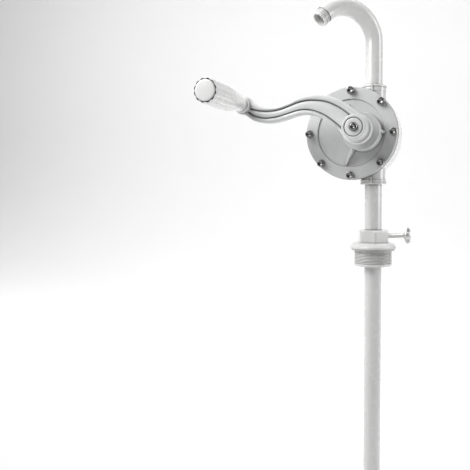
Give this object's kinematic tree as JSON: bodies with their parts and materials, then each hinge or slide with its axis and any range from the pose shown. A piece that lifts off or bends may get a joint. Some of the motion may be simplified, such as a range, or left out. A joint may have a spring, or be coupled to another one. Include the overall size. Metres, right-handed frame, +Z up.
{
  "type": "rotary hand pump",
  "caption": "Hand-cranked rotary vane pump for drums: round plastic casing, curved crank with turning grip, gooseneck spout, suction tube and clamped bung adapter.",
  "frame": {"origin": "centre of the bung adapter's thread at its seat, on the axis of the suction tube", "axes": "+Z up the suction tube to the spout, -Y to the side the crank is on, +X to the side away from the resting crank arm"},
  "size_m": [0.2609, 0.2569, 1.2324],
  "materials": {
    "housing": "matt, moulded",
    "crank_plastic": "matt, moulded",
    "white_plastic": "semi-gloss, moulded",
    "rotor_plastic": "machined",
    "ptfe": "waxy",
    "stainless": "turned",
    "brass": "knurled, turned",
    "gasket": "matt sheet",
    "rubber": "matt"
  },
  "bodies": {
    "adapter": {"bung_adapter": "white_plastic", "adapter_gasket": "gasket", "tube_seal": "rubber"},
    "tube": {"upper_tube": "white_plastic", "lower_tube": "white_plastic", "tube_coupling": "white_plastic", "foot_strainer": "white_plastic"},
    "head": {"pump_body": "white_plastic", "front_cover": "housing", "cover_seal": "rubber", "cover_washers": "stainless", "cover_screws": "stainless", "thread_inserts": "brass", "rear_bush": "ptfe", "front_bush": "ptfe", "shaft_seal": "rubber", "inlet_nut": "white_plastic", "inlet_gasket": "ptfe", "outlet_nut": "white_plastic", "outlet_gasket": "ptfe"},
    "crank": {"shaft": "stainless", "rotor": "rotor_plastic", "rotor_pin": "stainless", "vane_1": "ptfe", "vane_2": "ptfe", "vane_3": "ptfe", "vane_4": "ptfe", "vane_springs": "stainless", "crank_arm": "crank_plastic", "hub_washer": "crank_plastic", "hub_screw": "stainless", "grip_collar": "white_plastic", "grip_spindle": "stainless", "spindle_nut": "stainless"},
    "handgrip": {"grip": "white_plastic", "grip_cap": "white_plastic"},
    "pad": {"clamp_pad": "ptfe"},
    "wing": {"wing_screw": "stainless"},
    "gooseneck": {"spout": "white_plastic"}
  },
  "joints": [
    {"name": "tube_slide", "type": "slide", "parent": "adapter", "child": "tube", "axis": [0, 0, 1], "range_m": [-0.07, 0.34]},
    {"name": "head_swivel", "type": "hinge", "parent": "tube", "child": "head", "pos_m": [0, 0, 0.105], "axis": [0, 0, 1], "continuous": true},
    {"name": "spout_swivel", "type": "hinge", "parent": "head", "child": "gooseneck", "pos_m": [0, 0, 0.25], "axis": [0, 0, -1], "range_deg": [0, 255]},
    {"name": "crank_turn", "type": "hinge", "parent": "head", "child": "crank", "pos_m": [-0.011, 0, 0.1785], "axis": [0, 1, 0], "continuous": true},
    {"name": "grip_spin", "type": "hinge", "parent": "crank", "child": "handgrip", "pos_m": [-0.1847, -0.16, 0.2199], "axis": [0, 1, 0], "continuous": true},
    {"name": "clamp_travel", "type": "slide", "parent": "adapter", "child": "pad", "axis": [0.9511, 0.309, 0], "range_m": [0, 0.004]},
    {"name": "wing_turn", "type": "hinge", "parent": "pad", "child": "wing", "pos_m": [0.02853, 0.00927, 0.02], "axis": [0.9511, 0.309, 0], "range_deg": [0, 1153]}
  ],
  "couplings": [
    {"joint": "wing_turn", "follows": "clamp_travel", "rad_per_m": 5026.5}
  ]
}
